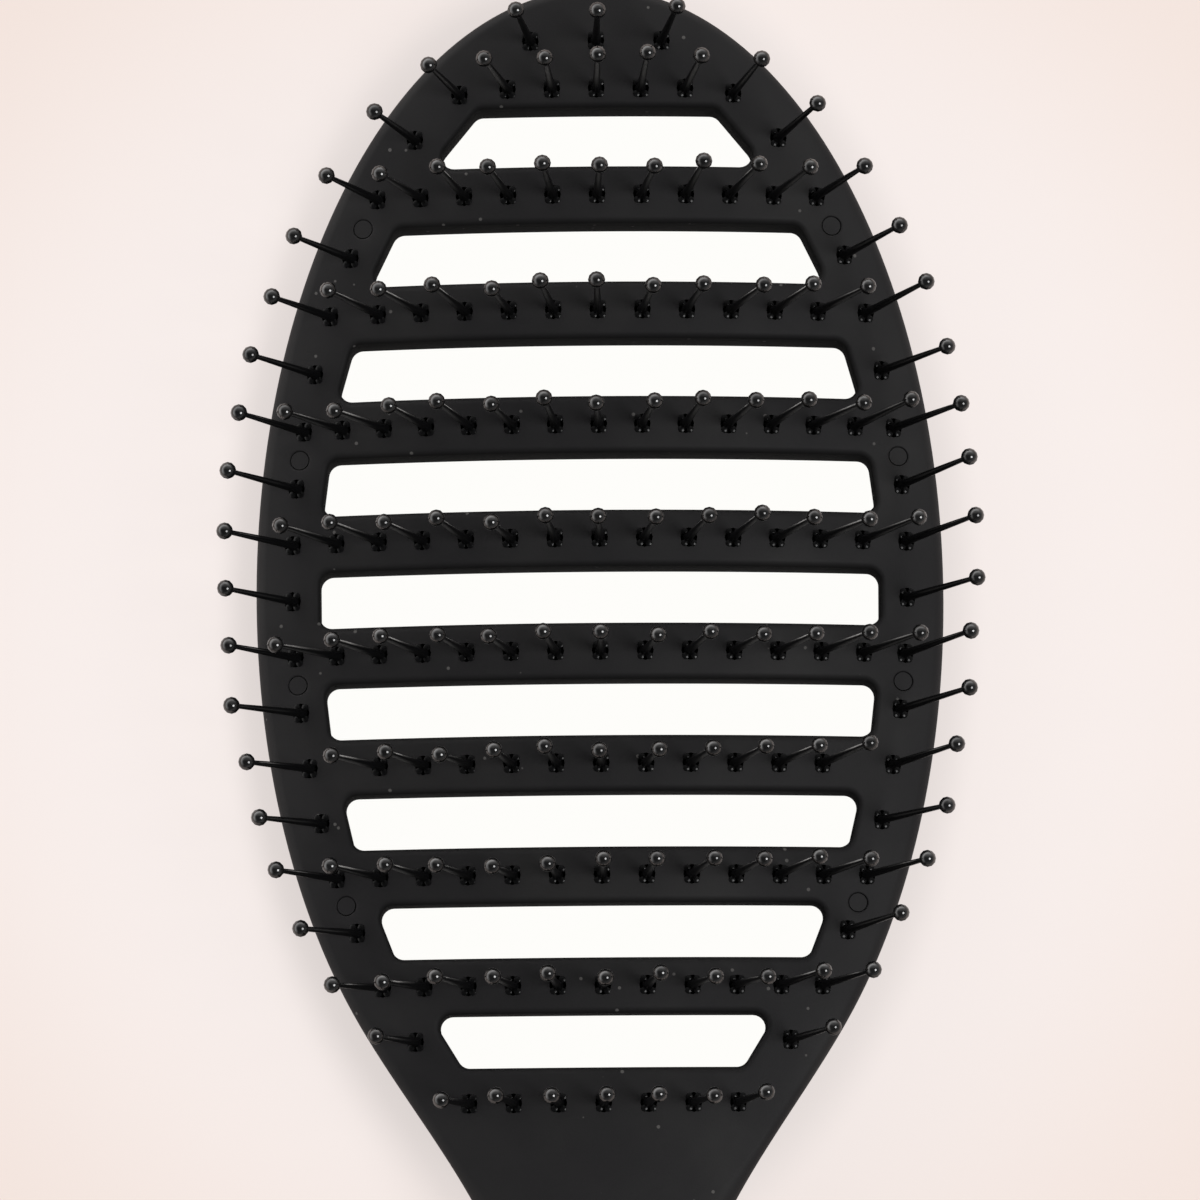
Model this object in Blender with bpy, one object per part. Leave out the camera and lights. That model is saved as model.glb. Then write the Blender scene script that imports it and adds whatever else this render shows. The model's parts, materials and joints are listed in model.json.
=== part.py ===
# Vent hairbrush: a bowed oval head with nine slots, moulded ball-tipped pins and a plain handle.
# It lies on its back with the pins up: X runs across it, Y along it towards the tip of the head.
# The origin is on the table, under the middle of the brush. All sizes are in metres.
import math

import bmesh
import bpy
from mathutils import Vector
from mathutils.geometry import delaunay_2d_cdt

# The whole brush
OVERALL_LENGTH = 0.250

# Head, seen from above: an ellipse that runs into the neck
HEAD_WIDTH = 0.0772
HEAD_LENGTH = 0.1354
HEAD_RUNS_TO = 0.0470          # how far below the ellipse's centre the neck curve takes over

# Neck and handle, seen from above
NECK_WIDTH = 0.0200
NECK_CURVE_LENGTH = 0.0355     # from the head's ellipse down to the narrowest place
GRIP_WIDTH = 0.0260
GRIP_SWELL_LENGTH = 0.0550     # from the narrowest place down to the full grip
END_ROUNDING = 0.0150          # length of the rounded end

# Cross-section of the head
FACE_RADIUS = 0.100            # the face bows across its width
BACK_FLATTER = 0.008           # the back's radius is this much larger, so the rim is the thinnest
HEAD_THICKNESS = 0.0070
FRONT_SKIN = 0.0022
BACK_SKIN = 0.0016
RIM_WALL = 0.0016
SLOT_WALL = 0.0008
FRONT_EDGE_ROUND = 0.0012
BACK_EDGE_ROUND = 0.0020

# Cross-section of the handle
BLEND_START = 0.0620           # below the ellipse's centre, where the section starts to thicken
BLEND_LENGTH = 0.0280
HANDLE_ROUND_PART = 0.68       # part of the half width that the rounded sides take up
HANDLE_SIDE_FLAT = 0.0015      # straight side above and below the joint line
HANDLE_WALL = 0.0034
HANDLE_SKIN = 0.0026
HOLLOW_MARGIN = 0.0008         # the front half's hollow is this much narrower on every side

# Slots, from the neck to the tip
SLOT_COUNT = 9
SLOTS_START = 0.0503           # from the ellipse's centre down to the middle of the lowest slot
SLOTS_STOP = 0.01693           # from the tip down to the middle of the highest slot
SLOT_PITCH_GROWTH = 0.000062   # each slot nearer the tip stands this much further on
SLOT_HEIGHT = 0.00633          # of the middle slot
SLOT_HEIGHT_GROWTH = 0.000085
SLOT_CORNER = 0.0014
UPPER_SLOT_SLANT = 1.3         # the ends of the slots near the tip slant so much more than the outline
SLOT_EDGE_ROUND = 0.0007
RIM_WIDTH = 0.00725
RIM_TIP_EXTRA = 0.0006         # how much wider the rim is beside the highest slot
RIM_TIP_POWER = 8              # how suddenly it widens

# Pins
PIN_PITCH = 0.00498            # along the bowed face
PIN_LENGTH = 0.0195            # from the face to the middle of the ball
PIN_BALL_RADIUS = 0.00083
PIN_FOOT_RADIUS = 0.00042
PIN_NECK_RADIUS = 0.00032
PIN_CONE = 0.0019              # from the ball's middle down to the thin end of the stem
ROOT_WIDTH = 0.0015
ROOT_HEIGHT = 0.0006
RIM_PIN_SHIFT = 0.0003         # nearer the neck the rim's pins stand this much inside its middle
RIM_PIN_SHIFT_LENGTH = 0.0300  # on which they move from the middle to there
RIM_PIN_GAP = 0.0035           # least distance across from a rim pin to the next one in its row
RIM_PIN_ROOM = 0.0046          # a row is squeezed to leave this much along the face
NECK_ROW_GAP = 0.0039          # from the lowest slot to the row below it
TIP_ROW_PITCH = 0.0054         # between the two rows above the slots
TIP_ROW_END_DROP = 0.0005      # the rim pins of the lower one stand this much nearer the neck
TIP_PIN_SPACING = 0.00735      # of the pins in the upper one
TIP_PINS_EACH_SIDE = 1
CARRIER_MARGIN = 0.00025       # least backing round a root

# Pegs that join the two halves of the head
PEG_RADIUS = 0.00095
PEG_BELOW_FACE = 0.00008

# Fits
FIT_GAP = 0.0003

# Mesh steps
ELLIPSE_STEPS = 24
NECK_STEPS = 8
GRIP_STEPS = 7
END_STEPS = 6
SLOT_EDGE_STEP = 0.0075
NECK_POINT_STEP = 0.0055
SLOPE_STEP = 0.00001
CORNER_STEPS = 3
EDGE_STEPS = 3
STEM_SIDES = 4
PEG_SIDES = 8
BALL_UPPER_ANGLE = math.radians(48)
SHARP_ANGLE = math.radians(35)
CUT_TOLERANCE = 1e-9

# Places that follow from the sizes above
TIP_Y = OVERALL_LENGTH / 2
END_Y = -OVERALL_LENGTH / 2
HEAD_HALF_WIDTH = HEAD_WIDTH / 2
HEAD_HALF_LENGTH = HEAD_LENGTH / 2
HEAD_Y = TIP_Y - HEAD_HALF_LENGTH
NECK_CURVE_Y = HEAD_Y - HEAD_RUNS_TO
NECK_Y = NECK_CURVE_Y - NECK_CURVE_LENGTH
END_CURVE_Y = END_Y + END_ROUNDING
BLEND_Y = HEAD_Y - BLEND_START
BACK_RADIUS = FACE_RADIUS + BACK_FLATTER
MIDDLE_SLOT = (SLOT_COUNT - 1) / 2
PAD_HALF = ROOT_WIDTH / 2 + CARRIER_MARGIN
HOLE_HALF = ROOT_WIDTH / 2 + FIT_GAP
TIP_ROW_GAP = SLOT_WALL + FIT_GAP + PAD_HALF
ROW_COUNT = SLOT_COUNT + 2


def sag(radius, x):
    """Drop of an arc of this radius at x from its crown."""
    return radius - math.sqrt(radius * radius - x * x)


# The crown stands so high that the rounded rim of the back just meets the table.
CROWN_Z = HEAD_THICKNESS + sag(BACK_RADIUS, HEAD_HALF_WIDTH - BACK_EDGE_ROUND)
HANDLE_PART_DEPTH = CROWN_Z / 2
HANDLE_ROUND_DEEP = HANDLE_PART_DEPTH - HANDLE_SIDE_FLAT


def mix(a, b, t):
    return a + (b - a) * t


def smooth_step(t):
    t = min(max(t, 0.0), 1.0)
    return t * t * (3.0 - 2.0 * t)


def into_handle(y):
    """0 in the head, 1 in the handle."""
    return smooth_step((BLEND_Y - y) / BLEND_LENGTH)


# The outline seen from above

def ellipse_x(y):
    t = (y - HEAD_Y) / HEAD_HALF_LENGTH
    return HEAD_HALF_WIDTH * math.sqrt(max(1.0 - t * t, 0.0))


def outline_x(y):
    """Half width of the brush at y."""
    if y >= NECK_CURVE_Y:
        return ellipse_x(y)
    if y >= NECK_Y:
        t = (NECK_CURVE_Y - y) / NECK_CURVE_LENGTH
        start = ellipse_x(NECK_CURVE_Y)
        slope = outline_slope(NECK_CURVE_Y + SLOPE_STEP) * NECK_CURVE_LENGTH
        keep = 2 * t ** 3 - 3 * t ** 2 + 1
        lean = t ** 3 - 2 * t ** 2 + t
        return start * keep + NECK_WIDTH / 2 * (1 - keep) - slope * lean
    width = mix(NECK_WIDTH, GRIP_WIDTH, smooth_step((NECK_Y - y) / GRIP_SWELL_LENGTH))
    past = max(END_CURVE_Y - y, 0.0) / END_ROUNDING
    return width / 2 * math.sqrt(max(1.0 - past * past, 0.0))


def outline_slope(y):
    """Gain in half width for each metre towards the tip."""
    return (outline_x(y + SLOPE_STEP) - outline_x(y - SLOPE_STEP)) / (2 * SLOPE_STEP)


def inside_x(y, distance):
    """Half width of a line that runs this far inside the outline, measured square to it."""
    return outline_x(y) - distance * math.hypot(1.0, outline_slope(y))


def outline_loop():
    """Points of the whole outline, clockwise from the tip."""
    right = [(0.0, TIP_Y)]
    last = math.asin((NECK_CURVE_Y - HEAD_Y) / HEAD_HALF_LENGTH)
    for i in range(1, ELLIPSE_STEPS):
        angle = mix(math.pi / 2, last, i / ELLIPSE_STEPS)
        right.append((HEAD_HALF_WIDTH * math.cos(angle), HEAD_Y + HEAD_HALF_LENGTH * math.sin(angle)))
    for i in range(NECK_STEPS):
        y = mix(NECK_CURVE_Y, NECK_Y, i / NECK_STEPS)
        right.append((outline_x(y), y))
    for i in range(GRIP_STEPS):
        y = mix(NECK_Y, END_CURVE_Y, i / GRIP_STEPS)
        right.append((outline_x(y), y))
    for i in range(END_STEPS):
        y = END_CURVE_Y - END_ROUNDING * math.sin(math.pi / 2 * i / END_STEPS)
        right.append((outline_x(y), y))
    right.append((0.0, END_Y))
    return right + [(-x, y) for x, y in reversed(right[1:-1])]


def inset_loop(loop, distance):
    """A clockwise loop moved in by a function of y; round the handle's end it shrinks to a centre."""
    end_centre = Vector((0.0, END_CURVE_Y))
    moved = []
    count = len(loop)
    for i, point in enumerate(loop):
        here = Vector(point)
        if here.y < END_CURVE_Y:
            shrink = distance(END_CURVE_Y) / outline_x(END_CURVE_Y)
            moved.append(tuple(here.lerp(end_centre, shrink)))
            continue
        along = (Vector(loop[(i + 1) % count]) - Vector(loop[i - 1])).normalized()
        moved.append(tuple(here + Vector((along.y, -along.x)) * distance(here.y)))
    return moved


# Heights of the surfaces

def face_z(x, y=0.0):
    """The face is the same all along."""
    return CROWN_Z - sag(FACE_RADIUS, x)


def back_z(x, y):
    head = CROWN_Z - HEAD_THICKNESS - sag(BACK_RADIUS, x)
    return mix(head, 0.0, into_handle(y))


def part_depth(y):
    """From the face down to the joint of the two halves."""
    return mix(FRONT_SKIN, HANDLE_PART_DEPTH, into_handle(y))


def part_z(x, y):
    """Underside of the front half."""
    return face_z(x) - part_depth(y)


def land_z(x, y):
    """Top of the back half's walls."""
    return part_z(x, y) - FIT_GAP


def floor_z(x, y):
    """Inside of the back half."""
    return back_z(x, y) + mix(BACK_SKIN, HANDLE_SKIN, into_handle(y))


def carrier_floor_z(x, y):
    return floor_z(x, y) + FIT_GAP


def peg_head_z(x, y):
    return face_z(x) - PEG_BELOW_FACE


def ceiling_z(x, y):
    """Top of the front half's hollow in the handle."""
    return face_z(x) - mix(FRONT_SKIN, HANDLE_SKIN, into_handle(y)) - HOLLOW_MARGIN


# Slots, counted from the lowest

def slot_y(slot):
    """Middle of a slot."""
    low = HEAD_Y - SLOTS_START
    high = TIP_Y - SLOTS_STOP
    steps = slot - MIDDLE_SLOT
    pitch = (high - low) / (SLOT_COUNT - 1)
    return (low + high) / 2 + pitch * steps + SLOT_PITCH_GROWTH * (steps ** 2 - MIDDLE_SLOT ** 2)


def slot_height(slot):
    return SLOT_HEIGHT + SLOT_HEIGHT_GROWTH * (slot - MIDDLE_SLOT)


def slot_top(slot):
    return slot_y(slot) + slot_height(slot) / 2


def slot_bottom(slot):
    return slot_y(slot) - slot_height(slot) / 2


def near_tip(y):
    """1 beside the highest slot, more above it and soon almost 0 below it."""
    return max((y - HEAD_Y) / (slot_y(SLOT_COUNT - 1) - HEAD_Y), 0.0) ** RIM_TIP_POWER


def rim_width(y):
    return RIM_WIDTH + RIM_TIP_EXTRA * near_tip(y)


def slot_loop(slot, grow):
    """Outline of a slot grown by this much on every side; its ends slant with the outline."""
    y = slot_y(slot)
    half = slot_height(slot) / 2 + grow
    slant = outline_slope(y) * (UPPER_SLOT_SLANT if slot > MIDDLE_SLOT else 1.0)
    middle = inside_x(y, rim_width(y) - grow)
    corners = [
        Vector((middle + slant * half, y + half)),
        Vector((middle - slant * half, y - half)),
        Vector((-middle + slant * half, y - half)),
        Vector((-middle - slant * half, y + half)),
    ]
    points = []
    for i, corner in enumerate(corners):
        back = (corners[i - 1] - corner).normalized()
        ahead = (corners[(i + 1) % len(corners)] - corner).normalized()
        opening = back.angle(ahead)
        radius = SLOT_CORNER + grow
        centre = corner + (back + ahead).normalized() * (radius / math.sin(opening / 2))
        first = corner + back * (radius / math.tan(opening / 2)) - centre
        turn = math.pi - opening
        for j in range(CORNER_STEPS + 1):
            angle = -turn * j / CORNER_STEPS
            c, s = math.cos(angle), math.sin(angle)
            points.append((centre.x + first.x * c - first.y * s, centre.y + first.x * s + first.y * c))
        if i in (1, 3):
            points += long_edge_points(points[-1], slot)
    return points


def long_edge_points(start, slot):
    """Points between start and its mirror image, so that the edge follows the bow of the face."""
    width = 2 * inside_x(slot_y(slot), RIM_WIDTH)
    steps = max(int(width / SLOT_EDGE_STEP), 2)
    return [(start[0] * (1 - 2 * i / steps), start[1]) for i in range(1, steps)]


# Rows of pins, counted from the lowest: one below the slots, one on each bar and two above

def row_y(row):
    if row == 0:
        return slot_bottom(0) - NECK_ROW_GAP
    if row < SLOT_COUNT:
        return (slot_top(row - 1) + slot_bottom(row)) / 2
    return slot_top(SLOT_COUNT - 1) + TIP_ROW_GAP + TIP_ROW_PITCH * (row - SLOT_COUNT)


def rim_line_x(y):
    """The rim's pins and pegs stand in the middle of its backing, or a little inside it."""
    middle = (RIM_WALL + rim_width(y) - SLOT_WALL) / 2
    towards_neck = smooth_step((HEAD_Y - y) / RIM_PIN_SHIFT_LENGTH + 0.5)
    return inside_x(y, middle + RIM_PIN_SHIFT * towards_neck)


def arc_x(distance):
    """X of a point that lies this far from the crown along the face."""
    return FACE_RADIUS * math.sin(distance / FACE_RADIUS)


def arc_length(x):
    """How far from the crown x lies along the face."""
    return FACE_RADIUS * math.asin(x / FACE_RADIUS)


def pin_places(row):
    """Face points (x, y) of a row's pins, from left to right."""
    y = row_y(row)
    if row == ROW_COUNT - 1:
        sides = range(-TIP_PINS_EACH_SIDE, TIP_PINS_EACH_SIDE + 1)
        return [(i * TIP_PIN_SPACING, y) for i in sides]
    end = rim_line_x(y)
    if row == 0:
        each_side = int(arc_length(end) / PIN_PITCH)
        return [(arc_x(i * PIN_PITCH), y) for i in range(-each_side, each_side + 1)]
    each_side = int(arc_length(end - RIM_PIN_GAP) / PIN_PITCH)
    pitch = min(PIN_PITCH, (arc_length(end) - RIM_PIN_ROOM) / each_side)
    places = [(arc_x(i * pitch), y) for i in range(-each_side, each_side + 1)]
    end_y = y - TIP_ROW_END_DROP if row == SLOT_COUNT else y
    return [(-end, end_y), *places, (end, end_y)]


def side_pin_place(slot, side):
    y = slot_y(slot)
    return side * rim_line_x(y), y


def all_pin_places():
    places = []
    for row in range(ROW_COUNT):
        places += pin_places(row)
    for slot in range(SLOT_COUNT):
        places += [side_pin_place(slot, -1), side_pin_place(slot, 1)]
    return places


def peg_places():
    """Pegs stand on the rim line, between every other slot and the row above it."""
    places = []
    for slot in range(1, SLOT_COUNT, 2):
        y = (slot_y(slot) + row_y(slot + 1)) / 2
        places += [(-rim_line_x(y), y), (rim_line_x(y), y)]
    return places


# Mesh building

def turns_left(ring):
    """Whether a ring of vertices runs anticlockwise, seen from above."""
    area = 0.0
    for a, b in zip(ring, ring[1:] + ring[:1]):
        area += a.co.x * b.co.y - b.co.x * a.co.y
    return area > 0.0


class Solid:
    """A closed body made of rings of vertices, strips between two rings, and caps."""

    def __init__(self):
        self.mesh = bmesh.new()

    def ring(self, points):
        return [self.mesh.verts.new(p) for p in points]

    def lifted(self, loop, height):
        """Ring of a flat loop, raised to the height that a function of x and y gives."""
        return self.ring([(x, y, height(x, y)) for x, y in loop])

    def strip(self, *rings):
        for a, b in zip(rings, rings[1:]):
            for i in range(len(a)):
                j = (i + 1) % len(a)
                self.mesh.faces.new((a[i], a[j], b[j], b[i]))

    def tip(self, ring, point):
        apex = self.mesh.verts.new(point)
        for i in range(len(ring)):
            self.mesh.faces.new((ring[i], ring[(i + 1) % len(ring)], apex))

    def cap(self, outer, holes=(), inner=()):
        """Triangles inside the outer ring and outside the holes, by way of the inner points."""
        verts = []
        borders = []
        for ring in (outer, *holes):
            first = len(verts)
            verts += ring if turns_left(ring) else reversed(ring)
            borders.append(list(range(first, len(verts))))
        verts += self.ring(inner)
        flat = [Vector((v.co.x, v.co.y)) for v in verts]
        result = delaunay_2d_cdt(flat, [], borders, 1, CUT_TOLERANCE)
        origin = [ids[0] for ids in result[3]]
        for face, inside in zip(result[2], result[5]):
            if list(inside) == [0]:
                self.mesh.faces.new([verts[origin[i]] for i in face])

    def finish(self, name, material):
        bmesh.ops.recalc_face_normals(self.mesh, faces=self.mesh.faces)
        data = bpy.data.meshes.new(name)
        self.mesh.to_mesh(data)
        self.mesh.free()
        data.shade_smooth()
        data.set_sharp_from_angle(angle=SHARP_ANGLE)
        data.materials.append(material)
        obj = bpy.data.objects.new(name, data)
        bpy.context.collection.objects.link(obj)
        return obj


# Pins: each stands square to the face on a root that comes up through the front half from a carrier

class PinFrame:
    """The face point of a pin and the directions along and across it."""

    def __init__(self, x, y):
        lean = math.asin(x / FACE_RADIUS)
        self.foot = Vector((x, y, face_z(x)))
        self.up = Vector((math.sin(lean), 0.0, math.cos(lean)))
        self.across = Vector((math.cos(lean), 0.0, -math.sin(lean)))
        self.along = Vector((0.0, 1.0, 0.0))

    def ring(self, height, radius, sides):
        """Points round the pin's axis, with a side square to the brush."""
        centre = self.foot + self.up * height
        points = []
        for i in range(sides):
            angle = 2 * math.pi * (i + 0.5) / sides
            spoke = self.across * math.cos(angle) + self.along * math.sin(angle)
            points.append(centre + spoke * radius)
        return points

    def square(self, height, half):
        return self.ring(height, half * math.sqrt(2), 4)

    def below_face(self, depth):
        """Height on the pin's axis that lies this far straight below the face."""
        return -depth * self.up.z


def add_pin(solid, place):
    """A pin above its carrier; gives back the ring that the carrier's top leaves open."""
    frame = PinFrame(*place)
    ball_top = PIN_BALL_RADIUS * math.sin(BALL_UPPER_ANGLE)
    ball_top_radius = PIN_BALL_RADIUS * math.cos(BALL_UPPER_ANGLE)
    base = solid.ring(frame.square(frame.below_face(part_depth(place[1]) + FIT_GAP), ROOT_WIDTH / 2))
    shoulder = solid.ring(frame.square(ROOT_HEIGHT, ROOT_WIDTH / 2))
    foot = solid.ring(frame.ring(ROOT_HEIGHT, PIN_FOOT_RADIUS, STEM_SIDES))
    neck = solid.ring(frame.ring(PIN_LENGTH - PIN_CONE, PIN_NECK_RADIUS, STEM_SIDES))
    ball = solid.ring(frame.ring(PIN_LENGTH, PIN_BALL_RADIUS, STEM_SIDES))
    upper = solid.ring(frame.ring(PIN_LENGTH + ball_top, ball_top_radius, STEM_SIDES))
    solid.strip(base, shoulder)
    solid.cap(shoulder, [foot])
    solid.strip(foot, neck, ball, upper)
    solid.tip(upper, frame.foot + frame.up * (PIN_LENGTH + PIN_BALL_RADIUS))
    return base


def root_place(x, y):
    """Where a slanted root meets its carrier."""
    return x - (part_depth(y) + FIT_GAP) * x / FACE_RADIUS, y


def carrier_reach(row):
    """Half height of a row's carrier: on a bar it fills the space between the slots' walls."""
    if 0 < row < SLOT_COUNT:
        return (slot_bottom(row) - slot_top(row - 1)) / 2 - SLOT_WALL - FIT_GAP
    return PAD_HALF


def carrier_loop(roots, reach):
    """A strip past the roots of a row, with a square pad at each end."""
    first, last = roots[0], roots[-1]
    stations = [(first[0] - PAD_HALF, first[1], PAD_HALF), (first[0] + PAD_HALF, first[1], PAD_HALF)]
    for i in range(1, len(roots)):
        level = roots[len(roots) // 2][1]
        stations.append(((roots[i - 1][0] + roots[i][0]) / 2, level, reach))
    if last != first:
        stations += [(last[0] - PAD_HALF, last[1], PAD_HALF), (last[0] + PAD_HALF, last[1], PAD_HALF)]
    upper = [(x, y + half) for x, y, half in stations]
    lower = [(x, y - half) for x, y, half in reversed(stations)]
    return upper + lower


def make_pins(name, places, reach, material):
    """Pins and the carrier that joins them."""
    solid = Solid()
    bases = [add_pin(solid, place) for place in places]
    loop = carrier_loop([root_place(*place) for place in places], reach)
    top = solid.lifted(loop, land_z)
    bottom = solid.lifted(loop, carrier_floor_z)
    solid.cap(top, bases)
    solid.strip(top, bottom)
    solid.cap(bottom)
    return solid.finish(name, material)


# The two halves of the body

def edge_rings(solid, outline, surface, head_round, fall):
    """Rings from a surface round its edge to the side; fall is -1 where the edge drops away."""
    rings = []
    for i in range(EDGE_STEPS + 1):
        angle = math.pi / 2 * i / EDGE_STEPS
        across = 1.0 - math.sin(angle)
        deep = fall * (1.0 - math.cos(angle))
        loop = inset_loop(outline, lambda y: across * round_width(y, head_round))
        rings.append(solid.lifted(loop, lambda x, y: surface(x, y) + deep * round_depth(y, head_round)))
    return rings


def round_width(y, head_round):
    """Width of the rounded edge: a small one in the head, most of the section in the handle."""
    return mix(head_round, HANDLE_ROUND_PART * outline_x(max(y, END_CURVE_Y)), into_handle(y))


def round_depth(y, head_round):
    return mix(head_round, HANDLE_ROUND_DEEP, into_handle(y))


def wall_inset(y):
    return mix(RIM_WALL, HANDLE_WALL, into_handle(y))


def bow_points(surface, stop, margin):
    """Points across the neck between the lowest row of pins and stop, where a surface keeps its bow."""
    start = row_y(0) - NECK_POINT_STEP
    count = max(int((start - stop) / NECK_POINT_STEP), 1)
    points = []
    for i in range(count):
        y = start - NECK_POINT_STEP * i
        reach = (outline_x(y) - margin(y)) / 2
        points += [(x, y, surface(x, y)) for x in (-reach, 0.0, reach)]
    return points


def hollow_start():
    """The front half's hollow starts where the section has half grown into the handle's."""
    return BLEND_Y - BLEND_LENGTH / 2


def handle_hollow_loop():
    """Outline of the hollow in the front half, down to the end of the handle."""
    wall = HANDLE_WALL + HOLLOW_MARGIN
    width = inside_x(hollow_start(), wall)
    inner = [point for point in inset_loop(outline_loop(), lambda y: wall) if point[1] < hollow_start()]
    return [(width, hollow_start()), *inner, (-width, hollow_start())]


def circle_loop(x, y, radius):
    angles = [2 * math.pi * i / PEG_SIDES for i in range(PEG_SIDES)]
    return [(x + radius * math.cos(a), y + radius * math.sin(a)) for a in angles]


def make_front_shell(material):
    solid = Solid()
    outline = outline_loop()
    rings = edge_rings(solid, outline, face_z, FRONT_EDGE_ROUND, -1)
    under = solid.lifted(outline, part_z)
    seat = solid.lifted(inset_loop(outline, wall_inset), part_z)
    top_holes = []
    under_holes = []
    half_way = 1.0 - math.cos(math.pi / 4)
    for slot in range(SLOT_COUNT):
        slot_rings = []
        for across, deep in ((1.0, 0.0), (half_way, half_way), (0.0, 1.0)):
            loop = slot_loop(slot, across * SLOT_EDGE_ROUND)
            slot_rings.append(solid.lifted(loop, lambda x, y: face_z(x) - deep * SLOT_EDGE_ROUND))
        slot_rings.append(solid.lifted(slot_loop(slot, 0.0), part_z))
        solid.strip(*slot_rings)
        top_holes.append(slot_rings[0])
        under_holes.append(slot_rings[-1])
    for place in all_pin_places():
        frame = PinFrame(*place)
        upper = solid.ring(frame.square(0.0, HOLE_HALF))
        lower = solid.ring(frame.square(frame.below_face(part_depth(place[1])), HOLE_HALF))
        solid.strip(upper, lower)
        top_holes.append(upper)
        under_holes.append(lower)
    for x, y in peg_places():
        circle = circle_loop(x, y, PEG_RADIUS + FIT_GAP)
        upper = solid.lifted(circle, face_z)
        lower = solid.lifted(circle, part_z)
        solid.strip(upper, lower)
        top_holes.append(upper)
        under_holes.append(lower)
    hollow = handle_hollow_loop()
    mouth = solid.lifted(hollow, part_z)
    ceiling = solid.lifted(hollow, ceiling_z)
    solid.strip(mouth, ceiling)
    solid.cap(ceiling)
    under_holes.append(mouth)
    solid.cap(rings[0], top_holes, bow_points(face_z, BLEND_Y - BLEND_LENGTH, handle_round_width))
    solid.strip(*rings, under, seat)
    solid.cap(seat, under_holes, bow_points(part_z, hollow_start() + NECK_POINT_STEP / 2, wall_inset))
    return solid.finish("front_shell", material)


def handle_round_width(y):
    return round_width(y, BACK_EDGE_ROUND)


def make_back_shell(material):
    solid = Solid()
    outline = outline_loop()
    rings = edge_rings(solid, outline, back_z, BACK_EDGE_ROUND, 1)
    land = solid.lifted(outline, land_z)
    tray_loop = inset_loop(outline, wall_inset)
    tray_edge = solid.lifted(tray_loop, land_z)
    tray_floor = solid.lifted(tray_loop, floor_z)
    bottom_holes = []
    floor_holes = []
    for slot in range(SLOT_COUNT):
        opening = slot_loop(slot, 0.0)
        channel = slot_loop(slot, SLOT_WALL)
        lower = solid.lifted(opening, back_z)
        upper = solid.lifted(opening, land_z)
        edge = solid.lifted(channel, land_z)
        foot = solid.lifted(channel, floor_z)
        solid.strip(lower, upper, edge, foot)
        bottom_holes.append(lower)
        floor_holes.append(foot)
    for x, y in peg_places():
        circle = circle_loop(x, y, PEG_RADIUS)
        foot = solid.lifted(circle, floor_z)
        head = solid.lifted(circle, peg_head_z)
        solid.strip(foot, head)
        solid.cap(head)
        floor_holes.append(foot)
    handle_y = BLEND_Y - BLEND_LENGTH
    solid.cap(rings[0], bottom_holes, bow_points(back_z, handle_y, handle_round_width))
    solid.strip(*rings, land, tray_edge, tray_floor)
    solid.cap(tray_floor, floor_holes, bow_points(floor_z, handle_y, wall_inset))
    return solid.finish("back_shell", material)


# Materials: soft-touch black on the body, glossy black nylon for the pins

def make_material(name, colour, roughness):
    material = bpy.data.materials.new(name)
    material.use_nodes = True
    shader = material.node_tree.nodes["Principled BSDF"]
    shader.inputs["Base Color"].default_value = (*colour, 1.0)
    shader.inputs["Roughness"].default_value = roughness
    shader.inputs["Metallic"].default_value = 0.0
    return material


def soft_black(name):
    return make_material(name, (0.030, 0.030, 0.032), 0.62)


def black_nylon(node):
    return make_material(node + "_nylon", (0.012, 0.012, 0.013), 0.22)


def clear_scene():
    for obj in list(bpy.data.objects):
        bpy.data.objects.remove(obj, do_unlink=True)


def main():
    clear_scene()
    make_front_shell(soft_black("front_soft_black"))
    make_back_shell(soft_black("back_soft_black"))
    for row in range(ROW_COUNT):
        name = "pin_row_%02d" % (ROW_COUNT - row)
        make_pins(name, pin_places(row), carrier_reach(row), black_nylon(name))
    for slot in range(SLOT_COUNT):
        for letter, side in (("L", -1), ("R", 1)):
            name = "side_pin_%s%d" % (letter, SLOT_COUNT - slot)
            make_pins(name, [side_pin_place(slot, side)], PAD_HALF, black_nylon(name))


main()
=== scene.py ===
import json
import math

import bmesh
import bpy
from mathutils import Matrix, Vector
from mathutils.geometry import delaunay_2d_cdt
from mathutils.kdtree import KDTree

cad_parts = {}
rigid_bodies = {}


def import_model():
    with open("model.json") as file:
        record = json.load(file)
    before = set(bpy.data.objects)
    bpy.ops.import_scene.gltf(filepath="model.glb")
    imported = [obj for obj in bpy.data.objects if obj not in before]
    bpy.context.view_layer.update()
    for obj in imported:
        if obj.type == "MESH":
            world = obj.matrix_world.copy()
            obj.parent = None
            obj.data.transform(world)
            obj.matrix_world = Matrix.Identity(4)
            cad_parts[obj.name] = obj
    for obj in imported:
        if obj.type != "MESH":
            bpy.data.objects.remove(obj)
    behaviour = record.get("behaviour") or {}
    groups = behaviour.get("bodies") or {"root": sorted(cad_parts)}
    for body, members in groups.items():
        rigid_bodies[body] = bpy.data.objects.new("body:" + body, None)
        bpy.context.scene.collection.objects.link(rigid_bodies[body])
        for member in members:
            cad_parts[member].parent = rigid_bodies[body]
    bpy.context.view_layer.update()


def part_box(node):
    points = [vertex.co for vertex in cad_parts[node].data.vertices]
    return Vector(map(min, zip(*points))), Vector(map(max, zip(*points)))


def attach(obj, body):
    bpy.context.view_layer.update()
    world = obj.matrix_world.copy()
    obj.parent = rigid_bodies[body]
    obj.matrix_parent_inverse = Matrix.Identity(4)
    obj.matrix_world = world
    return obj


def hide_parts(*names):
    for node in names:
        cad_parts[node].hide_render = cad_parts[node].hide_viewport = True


for leftover in list(bpy.data.objects):
    bpy.data.objects.remove(leftover, do_unlink=True)

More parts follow.
